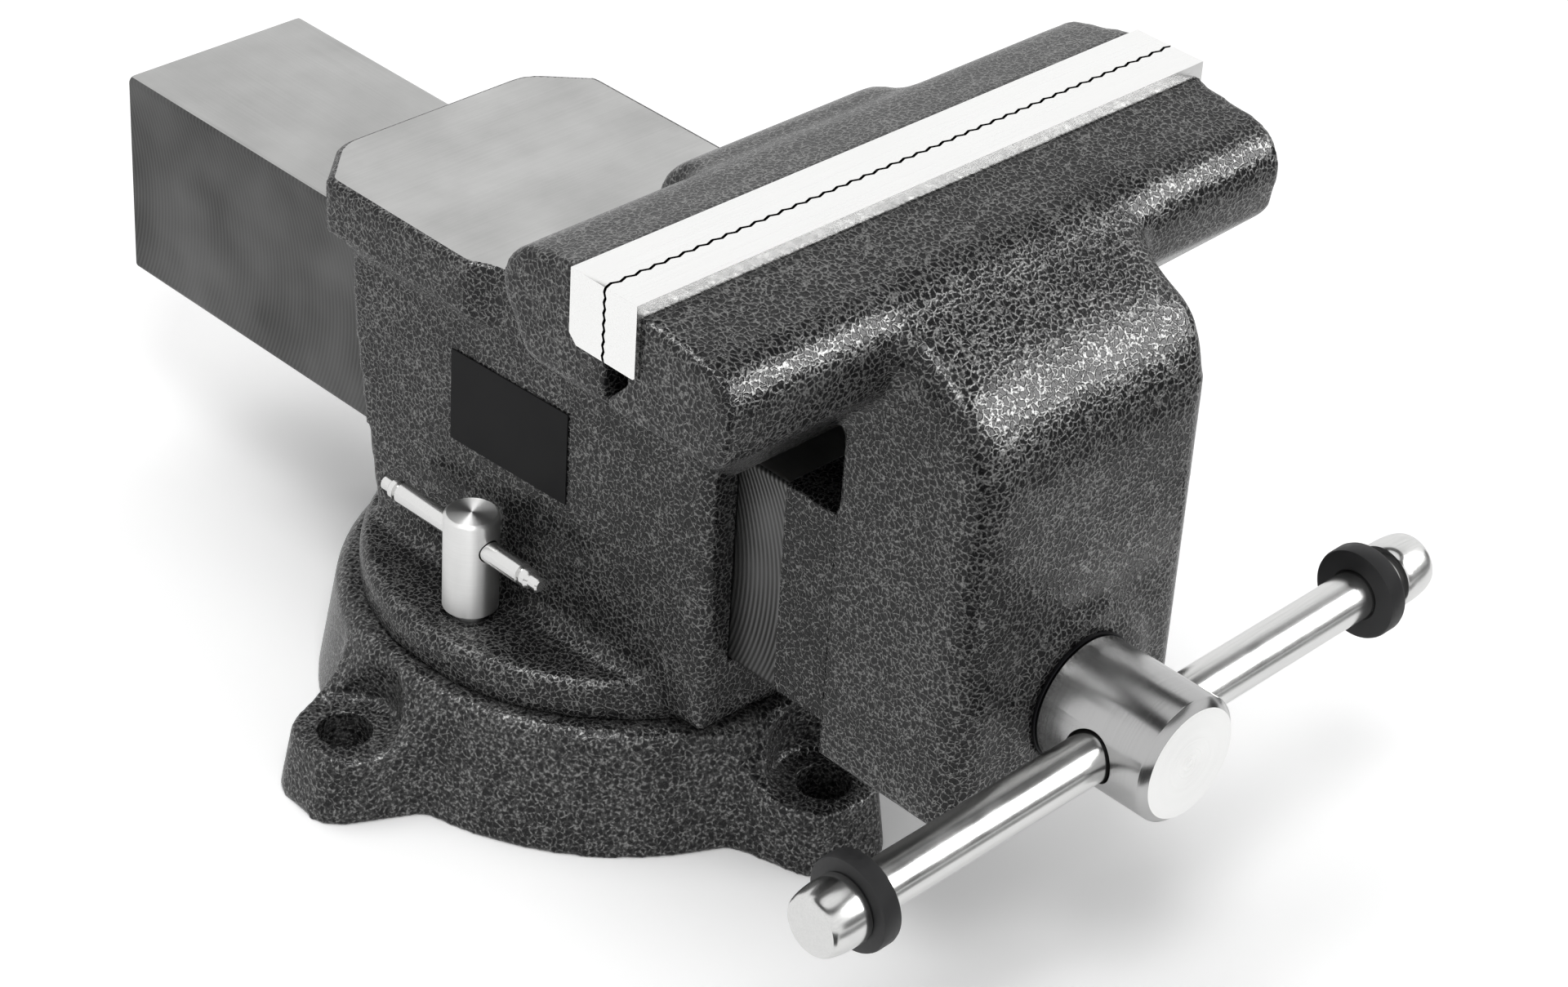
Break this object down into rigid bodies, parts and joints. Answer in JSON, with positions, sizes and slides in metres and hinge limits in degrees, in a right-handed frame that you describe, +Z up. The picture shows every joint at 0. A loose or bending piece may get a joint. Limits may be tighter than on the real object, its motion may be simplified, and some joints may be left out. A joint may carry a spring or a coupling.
{
  "type": "swivel bench vise",
  "caption": "Bench vise with a fixed jaw and anvil on a round swivel base, a sliding jaw on a square bar, a screw spindle with a crossbar handle and lock bolts.",
  "frame": {"origin": "on the swivel axis at the bench surface, the centre of the base bolt circle", "axes": "+X along the jaws to the right seen from the handle, +Y to the back along the slide bar, +Z up"},
  "size_m": [0.2247, 0.3955, 0.213],
  "materials": {
    "casting": "grey hammered enamel on cast iron",
    "ground_iron": "machined and ground",
    "jaw_steel": "ground",
    "bright_steel": "turned and polished",
    "dark_steel": "oil blackened",
    "chrome": "polished",
    "rubber": "matte",
    "blank_plate": "matte, bare"
  },
  "bodies": {
    "stand": {"base": "casting"},
    "housing": {"fixed_jaw": "casting", "rear_plate": "jaw_steel", "rear_plate_screws": "jaw_steel", "nut": "ground_iron", "nut_bolts": "dark_steel", "side_plate": "blank_plate", "clamp_disc": "ground_iron"},
    "slide": {"sliding_jaw": "casting", "slide_bar": "ground_iron", "front_plate": "jaw_steel", "front_plate_screws": "jaw_steel"},
    "screw": {"spindle": "bright_steel", "thrust_washer": "dark_steel", "collar": "ground_iron", "collar_pin": "dark_steel", "stop_washer": "ground_iron", "stop_pin": "dark_steel"},
    "handle": {"handle_rod": "chrome", "handle_cap_left": "chrome", "handle_cap_right": "chrome", "handle_ring_left": "rubber", "handle_ring_right": "rubber"},
    "left_bolt": {"lock_bolt_left": "bright_steel"},
    "right_bolt": {"lock_bolt_right": "bright_steel"},
    "left_bar": {"lock_bar_left": "bright_steel"},
    "right_bar": {"lock_bar_right": "bright_steel"}
  },
  "joints": [
    {"name": "swivel", "type": "hinge", "parent": "stand", "child": "housing", "pos_m": [0, 0, 0.0375], "axis": [0, 0, 1], "continuous": true},
    {"name": "jaw_slide", "type": "slide", "parent": "housing", "child": "slide", "axis": [0, -1, 0], "range_m": [0, 0.195]},
    {"name": "spindle_turn", "type": "hinge", "parent": "slide", "child": "screw", "pos_m": [0, -0.18, 0.0905], "axis": [0, -1, 0], "continuous": true},
    {"name": "handle_slide", "type": "slide", "parent": "screw", "child": "handle", "axis": [0.9995, 0, 0.0314], "range_m": [-0.068, 0.0775]},
    {"name": "left_bolt_turn", "type": "hinge", "parent": "housing", "child": "left_bolt", "pos_m": [-0.056, 0, 0.048], "axis": [0, 0, 1], "range_deg": [-5, 5]},
    {"name": "left_bar_slide", "type": "slide", "parent": "left_bolt", "child": "left_bar", "axis": [0, 1, 0], "range_m": [-0.018, 0.01]},
    {"name": "right_bolt_turn", "type": "hinge", "parent": "housing", "child": "right_bolt", "pos_m": [0.056, 0, 0.048], "axis": [0, 0, 1], "range_deg": [-5, 5]},
    {"name": "right_bar_slide", "type": "slide", "parent": "right_bolt", "child": "right_bar", "axis": [0, 1, 0], "range_m": [-0.01, 0.018]}
  ],
  "couplings": [
    {"joint": "spindle_turn", "follows": "jaw_slide", "rad_per_m": 1047.2}
  ]
}
